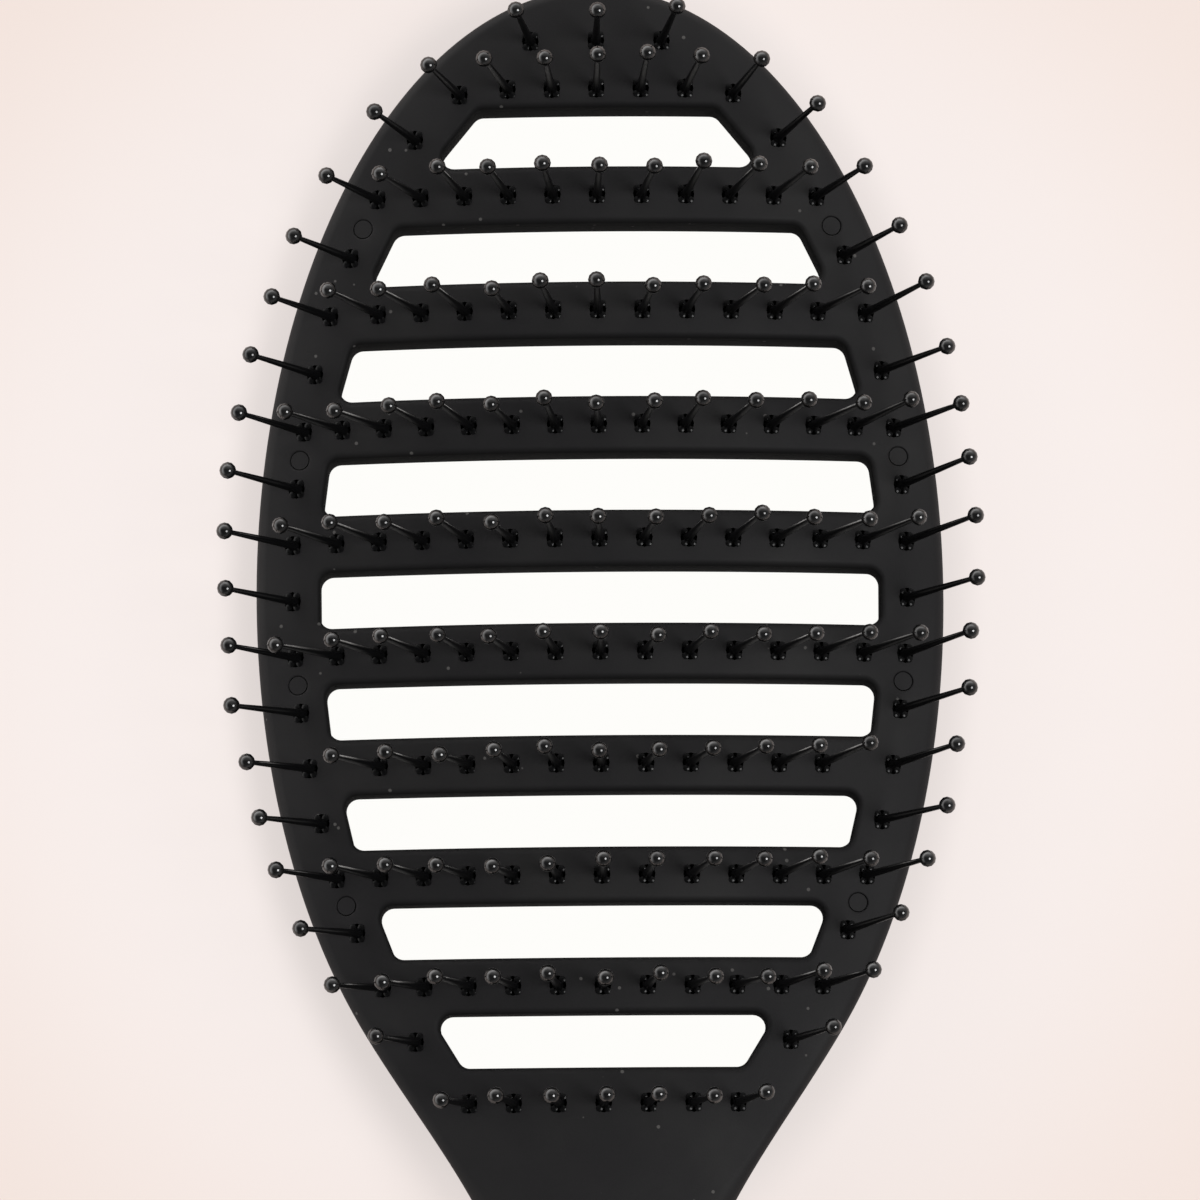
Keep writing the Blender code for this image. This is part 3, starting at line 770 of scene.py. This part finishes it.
SIDE_SEED = 40


def turned(solid, centre, profile, sides, polish):
    """A surface turned about a vertical axis, from (radius, height) pairs that end in a point."""
    rings = []
    for radius, height in profile[:-1]:
        loop = oval(centre[0], centre[1], radius, radius, sides)
        rings.append(solid.ring([(x, y, height) for x, y in loop]))
    solid.strip(*rings)
    for ring, height in ((rings[0], profile[0][1]), (rings[-1], profile[-1][1])):
        point = solid.mesh.verts.new((*centre, height))
        rings.append([point])
        for i in range(sides):
            solid.mesh.faces.new((ring[i], ring[(i + 1) % sides], point))
    for v in sum(rings, []):
        v[solid.polish] = polish(v.co)


def stem_profile():
    """From the flared root, up the taper, to the top of the ball."""
    profile = [(FLARE_RADIUS, -ROOT_DEPTH), (FLARE_RADIUS, 0.0)]
    profile.append((mix(FLARE_RADIUS, FOOT_RADIUS, FLARE_HOLLOW), FLARE_HEIGHT / 3))
    meets = math.asin(NECK_RADIUS * NECK_FLARE / BALL_RADIUS)
    neck = PIN_LENGTH - BALL_RADIUS * math.cos(meets) - NECK_RADIUS
    for i in range(STEM_RINGS + 1):
        t = i / STEM_RINGS
        profile.append((mix(FOOT_RADIUS, NECK_RADIUS, t), mix(FLARE_HEIGHT, neck, t)))
    under = [mix(math.pi - meets, math.pi / 2, i / UNDER_RINGS) for i in range(UNDER_RINGS)]
    over = [math.pi / 2 * (1 - i / OVER_RINGS) for i in range(OVER_RINGS)]
    for angle in under + over:
        profile.append((BALL_RADIUS * math.sin(angle), PIN_LENGTH + BALL_RADIUS * math.cos(angle)))
    return profile + [(0.0, PIN_LENGTH + BALL_RADIUS)]


def step_between(start, stop, value):
    return smooth_step((value - start) / (stop - start))


def stem_polish(at):
    """The ball shines on top and dulls towards its widest ring; the upper stem shines towards the tip."""
    if at.z > PIN_LENGTH:
        out = math.hypot(at.x, at.y) / BALL_RADIUS
        return 1.0 - step_between(BALL_DULLS_FROM, BALL_DULLS_TO, out)
    if at.z > PIN_LENGTH - BALL_RADIUS:
        return 0.0
    rise = step_between(STEM_SHINES_FROM, STEM_SHINES_TO, at.z / PIN_LENGTH)
    return rise * min(max(at.y / NECK_RADIUS, 0.0) / STEM_SHINE_EDGE, 1.0)


def lobe_profile():
    """A low pad with a rounded edge and a slightly domed top."""
    flat = LOBE_RADIUS - LOBE_EDGE
    shoulder = LOBE_HEIGHT - sag(LOBE_CROWN, flat)
    profile = [(LOBE_RADIUS, -ROOT_DEPTH), (LOBE_RADIUS, shoulder - LOBE_EDGE)]
    profile.append((flat + LOBE_EDGE * LOBE_EDGE_MIDDLE, shoulder - LOBE_EDGE * (1.0 - LOBE_EDGE_MIDDLE)))
    profile += [(flat * share, LOBE_HEIGHT - sag(LOBE_CROWN, flat * share)) for share in (1.0, 0.5)]
    return profile + [(0.0, LOBE_HEIGHT)]


NYLON_BLACK = (0.004, 0.004, 0.0043, 1.0)
NYLON_GLOSS = 0.03             # without its polish
NYLON_ROUGHNESS = 0.3
POLISH_ROUGHNESS = 0.08
POLISH_IOR = 1.6
POLISH_LEAST = 0.7
POLISH_VARIES = 0.4
FLOW_SCALE = 900
FLOW_DETAIL = 2.0
FLOW_DULL = 0.4
FLOW_GLOSSY = 0.6
FLOW_ROUGHNESS = 0.08
FLOW_HEIGHT = 0.00002
FLOW_STRENGTH = 0.35


def nylon(name):
    """Black nylon with the faint unevenness of a moulding, glossy where the polish attribute says so."""
    finish = Finish(name, Metallic=0.0, Specular_IOR_Level=NYLON_GLOSS, Base_Color=NYLON_BLACK,
                    Coat_Roughness=POLISH_ROUGHNESS, Coat_IOR=POLISH_IOR)
    flow = finish.noise(FLOW_SCALE, FLOW_DETAIL)
    finish.feed("Roughness", NYLON_ROUGHNESS + FLOW_ROUGHNESS * flow)
    polish = finish.add("ShaderNodeAttribute", {"attribute_name": "polish"}, out="Fac")
    finish.feed("Coat Weight", polish * (POLISH_LEAST + POLISH_VARIES * flow.ramp(FLOW_DULL, FLOW_GLOSSY)))
    finish.bump(flow, FLOW_HEIGHT, FLOW_STRENGTH)
    return finish.material


nylon_black = nylon("nylon_black")
stem = Moulding()
turned(stem, (0.0, 0.0), stem_profile(), PIN_SIDES, stem_polish)
stem_shape = stem.finish("stem_shape", nylon_black)
root = Moulding()
for side_x in (-1, 1):
    for side_y in (-1, 1):
        turned(root, (side_x * LOBE_X, side_y * LOBE_Y), lobe_profile(), LOBE_SIDES, lambda at: LOBE_POLISH)
root_shape = root.finish("root_shape", nylon_black)


def pin_tree():
    """Geometry nodes that stand a root and a leaning stem on each point of the bowed face."""
    tree = bpy.data.node_groups.new("nylon_pins", "GeometryNodeTree")
    inputs = {"Feet": "Geometry", "Backing": "Object", "Root": "Object", "Stem": "Object",
              "Nylon": "Material", "Face radius": "Float", "Twist": "Float", "Lean": "Float", "Seed": "Int"}
    for name, kind in inputs.items():
        tree.interface.new_socket(name, in_out="INPUT", socket_type="NodeSocket" + kind)
    tree.interface.new_socket("Pins", in_out="OUTPUT", socket_type="NodeSocketGeometry")
    pins = Nodes(tree)
    start, end = tree.nodes.new("NodeGroupInput"), tree.nodes.new("NodeGroupOutput")
    given = {name: Wire(pins, start.outputs[name]) for name in inputs}
    position = pins.add("GeometryNodeInputPosition")
    slant = pins.add("ShaderNodeSeparateXYZ", None, position, out="X") / given["Face radius"]
    rise = slant.math("SQRT", 1.0 - slant * slant)

    def chance(shift):
        """A lean either way, drawn anew for each pin."""
        most, seed = given["Lean"], given["Seed"] + shift
        return pins.add("FunctionNodeRandomValue", {"data_type": "FLOAT"}, None, None, most * -1.0, most,
                        Seed=seed, out=1)

    square = pins.add("ShaderNodeCombineXYZ", None, slant, 0.0, rise)
    lean_x, lean_y = slant + chance(0.0), slant * given["Twist"] + chance(LENGTHWISE_DRAW)
    leaning = pins.add("ShaderNodeCombineXYZ", None, lean_x, lean_y, rise)
    made = [pins.add("GeometryNodeObjectInfo", Object=given["Backing"], out="Geometry")]
    for shape, direction in (("Root", square), ("Stem", leaning)):
        turn = pins.add("FunctionNodeAlignRotationToVector", {"axis": "Z"}, Vector=direction)
        moulded = pins.add("GeometryNodeObjectInfo", Object=given[shape], out="Geometry")
        stood = {"Points": given["Feet"], "Instance": moulded, "Rotation": turn}
        made.append(pins.add("GeometryNodeInstanceOnPoints", **stood))
    join = tree.nodes.new("GeometryNodeJoinGeometry")
    for geometry in made:
        pins.give(join.inputs[0], geometry)
    real = pins.add("GeometryNodeRealizeInstances", None, Wire(pins, join.outputs[0]))
    dressed = pins.add("GeometryNodeSetMaterial", Geometry=real, Material=given["Nylon"])
    pins.give(end.inputs[0], dressed)
    return tree


pins_tree = pin_tree()


def backing_loop(places, reach):
    """A strip under a row's roots, with a square pad at each end."""
    depth = FRONT_SKIN + BACKING_GAP
    roots = [(x - depth * x / FACE_RADIUS, y) for x, y in places]
    stations = []
    for x, y in (roots[0], roots[-1]):
        stations += [(x - PAD_HALF, y, PAD_HALF), (x + PAD_HALF, y, PAD_HALF)]
    level = roots[len(roots) // 2][1]
    middles = [((a[0] + b[0]) / 2, level, reach) for a, b in zip(roots, roots[1:])]
    stations = stations[:2] + middles + (stations[2:] if middles else [])
    return [(x, y + half) for x, y, half in stations] + [(x, y - half) for x, y, half in reversed(stations)]


def stand_pins(node, places, reach, seed):
    """One moulding of pins on its backing, in the place of its node."""
    strip = Moulding()
    loop = backing_loop(places, reach)
    top = strip.lifted(loop, lambda x, y: part_z(x, y) - BACKING_GAP)
    bottom = strip.lifted(loop, lambda x, y: floor_z(x, y) + BACKING_GAP)
    strip.cap(top)
    strip.strip(top, bottom)
    strip.cap(bottom)
    backing = strip.finish("backing", nylon_black)
    feet = bpy.data.meshes.new("feet")
    feet.from_pydata([(x, y, face_z(x)) for x, y in places], [], [])
    holder = bpy.data.objects.new("holder", feet)
    bpy.context.scene.collection.objects.link(holder)
    modifier = holder.modifiers.new("pins", "NODES")
    modifier.node_group = pins_tree
    values = {"Backing": backing, "Root": root_shape, "Stem": stem_shape, "Face radius": FACE_RADIUS,
              "Twist": TWIST, "Lean": LEAN, "Seed": seed, "Nylon": nylon_black}
    for item in pins_tree.interface.items_tree:
        if item.name in values:
            modifier[item.identifier] = values[item.name]
    seen = holder.evaluated_get(bpy.context.evaluated_depsgraph_get())
    data = bpy.data.meshes.new_from_object(seen)
    data.name = node + "_moulded"
    for spent in (holder, backing):
        bpy.data.objects.remove(spent, do_unlink=True)
    piece = bpy.data.objects.new(node + "_moulded", data)
    bpy.context.scene.collection.objects.link(piece)
    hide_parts(node)
    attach(piece, "root")


for row in range(ROW_COUNT):
    reach = PAD_HALF
    if 0 < row < SLOT_COUNT:
        gap = slot_y(row) - slot_half_height(row) - slot_y(row - 1) - slot_half_height(row - 1)
        reach = gap / 2 - SLOT_WALL - BACKING_GAP
    stand_pins("pin_row_%02d" % (ROW_COUNT - row), pin_places(row), reach, row)
for slot in range(SLOT_COUNT):
    for letter, side in (("L", -1), ("R", 1)):
        node = "side_pin_%s%d" % (letter, SLOT_COUNT - slot)
        stand_pins(node, [side_pin_place(slot, side)], PAD_HALF, SIDE_SEED + 2 * slot + (side + 1) // 2)
for spent in (stem_shape, root_shape):
    bpy.data.objects.remove(spent, do_unlink=True)

# Floor: a wide pale studio table, cream with a touch of pink, painted darker and warmer away from the brush
# as a fall-off of the light, and with a painted shadow close round its head. Under the head lies an oval of
# white paper, a little smaller than the head, which shows through the slots.

FLOOR_SIZE = 3.0
FLOOR_DROP = 0.0001
CREAM = (0.940, 0.864, 0.838, 1.0)
# painted shade: the darker, warmer cream far from the brush, a painted fall-off of the light
CREAM_PAINTED_FALLOFF = (0.890, 0.770, 0.715, 1.0)
# painted shadow: the darker cream close round the head
CREAM_SHADED = (0.83, 0.765, 0.742, 1.0)
TABLE_ROUGHNESS = 0.9
TABLE_GLOSS = 0.1
SHADE_STARTS = 1.16            # squares of the distance from the middle, 1 at the paper's edge
SHADE_ENDS = 1.50
FAR_STARTS = 0.055             # from the middle of the head
FAR_ENDS = 0.105
PAPER_WHITE = (0.990, 0.982, 0.955, 1.0)
PAPER_SHARE = 0.93             # of the head's width and length
OWN_LIGHT = 0.80               # part of the cream that doesn't depend on the lamps
MIRRORED_LIGHT = 0.66          # how much of it gloss shows
PAPER_MIRRORED = 0.5           # and how much of that where the paper lies

table = bpy.data.meshes.new("table")
half = FLOOR_SIZE / 2
corners = [(-half, -half), (half, -half), (half, half), (-half, half)]
table.from_pydata([(x, y, -FLOOR_DROP) for x, y in corners], [], [(0, 1, 2, 3)])
floor = bpy.data.objects.new("table", table)
bpy.context.scene.collection.objects.link(floor)
paint = Finish("cream_table", Roughness=TABLE_ROUGHNESS, Specular_IOR_Level=TABLE_GLOSS)
place = paint.place()
across = paint.add("ShaderNodeSeparateXYZ", None, place, out="X")
along = paint.add("ShaderNodeSeparateXYZ", None, place, out="Y") - HEAD_Y
away = across.math("SQRT", across * across + along * along)
# painted shade: the cream grows darker and warmer away from the head
cream = paint.blend(away.ramp(FAR_STARTS, FAR_ENDS), CREAM, CREAM_PAINTED_FALLOFF)
share_x = across / (HEAD_HALF_WIDTH * PAPER_SHARE)
share_y = along / (HEAD_HALF_LENGTH * PAPER_SHARE)
share = share_x * share_x + share_y * share_y
paper = share < 1.0
# painted shadow: close round the head the cream turns to the shaded cream
cream = paint.blend(share.ramp(SHADE_STARTS, SHADE_ENDS), CREAM_SHADED, cream)
by_camera, by_gloss, by_glass = (paint.add("ShaderNodeLightPath", out="Is %s Ray" % kind)
                                 for kind in ("Camera", "Glossy", "Transmission"))
paint.feed("Base Color", cream)
own = paint.add("ShaderNodeEmission", None, Color=paint.blend(paper, cream, PAPER_WHITE), Strength=1.0)
seen = by_camera.math("MAXIMUM", by_camera, by_glass)
mirrored = by_gloss * (1.0 - (1.0 - PAPER_MIRRORED) * paper) * MIRRORED_LIGHT
amount = seen * (paper * (1.0 - OWN_LIGHT) + OWN_LIGHT) + mirrored
mixed = paint.add("ShaderNodeMixShader", None, amount, Wire(paint, paint.shader.outputs[0]), own)
paint.give(paint.tree.nodes["Material Output"].inputs["Surface"], mixed)
table.materials.append(paint.material)

# Studio light: a round key light high on the right, which puts a bright dot on every ball, in a dim
# room. A low pale wall towards the left of the tip puts a crescent on every ball; the wall opposite is
# faint, and some light comes from beyond the tip.

KEY_ELEVATION = math.radians(57)
KEY_AZIMUTH = math.radians(-20)
KEY_DISTANCE = 1.3
KEY_SIZE = 0.62
KEY_POWER = 11.0
ROOM_COLOUR = (1.0, 0.985, 0.975, 1.0)
ROOM = 0.12
RIGHT_WALL = 0.3
LEFT_WALL = 2.6
FAR_LIGHT = 0.6
WALL_AZIMUTH = math.radians(-42)   # of the right wall; the left one is opposite
RIGHT_WALL_STARTS = 0.0            # from here on, parts of a direction of length 1
LEFT_WALL_STARTS = -0.3
WALL_FULL = 0.8
WALL_FADES = 0.25
WALL_TOP = 0.75
FAR_LIGHT_STARTS = 0.1
FAR_LIGHT_FULL = 0.7

key_light = bpy.data.lights.new("key", "AREA")
key_light.shape = "DISK"
key_light.size = KEY_SIZE
key_light.energy = KEY_POWER
key = bpy.data.objects.new("key", key_light)
level = math.cos(KEY_ELEVATION)
way = Vector((level * math.cos(KEY_AZIMUTH), level * math.sin(KEY_AZIMUTH), math.sin(KEY_ELEVATION)))
key.location = Vector((0.0, HEAD_Y, CROWN_Z)) + way * KEY_DISTANCE
key.rotation_mode = "QUATERNION"
key.rotation_quaternion = way.to_track_quat("Z", "Y")
bpy.context.scene.collection.objects.link(key)

world = bpy.data.worlds.new("studio")
bpy.context.scene.world = world
world.use_nodes = True
room = Nodes(world.node_tree)
sky = room.tree.nodes["Background"]
sky.inputs["Color"].default_value = ROOM_COLOUR
direction = room.add("ShaderNodeTexCoord", out="Generated")
east, north, up = (room.add("ShaderNodeSeparateXYZ", None, direction, out=axis) for axis in "XYZ")
sideways = east * math.cos(WALL_AZIMUTH) + north * math.sin(WALL_AZIMUTH)
right_wall = sideways.ramp(RIGHT_WALL_STARTS, WALL_FULL) * RIGHT_WALL
left_wall = (0.0 - sideways).ramp(LEFT_WALL_STARTS, WALL_FULL) * LEFT_WALL
walls = (right_wall + left_wall) * (1.0 - up.ramp(WALL_FADES, WALL_TOP))
far_light = north.ramp(FAR_LIGHT_STARTS, FAR_LIGHT_FULL) * FAR_LIGHT
room.give(sky.inputs["Strength"], walls + far_light + ROOM)

# Camera: high above the head and a few degrees towards the handle, turned a hair about its own axis,
# with a long lens that takes in the head from its tip to just below its lowest row of pins.

VIEW_TARGET = (0.0, 0.05585, 0.0133)
VIEW_FROM = (0.0, -0.0297, 0.8133)
VIEW_ROLL = -0.0074
LENS_MM = 217.2
SENSOR_MM = 36.0
NEAREST_SEEN = 0.05

camera_data = bpy.data.cameras.new("camera")
camera_data.lens = LENS_MM
camera_data.sensor_width = SENSOR_MM
camera_data.clip_start = NEAREST_SEEN
camera = bpy.data.objects.new("camera", camera_data)
camera.location = VIEW_FROM
towards = Vector(VIEW_TARGET) - Vector(VIEW_FROM)
camera.rotation_euler = towards.to_track_quat("-Z", "Y").to_euler("XYZ")
camera.rotation_euler.rotate_axis("Z", VIEW_ROLL)
bpy.context.scene.collection.objects.link(camera)
bpy.context.scene.camera = camera
bpy.context.scene.view_settings.view_transform = "Standard"
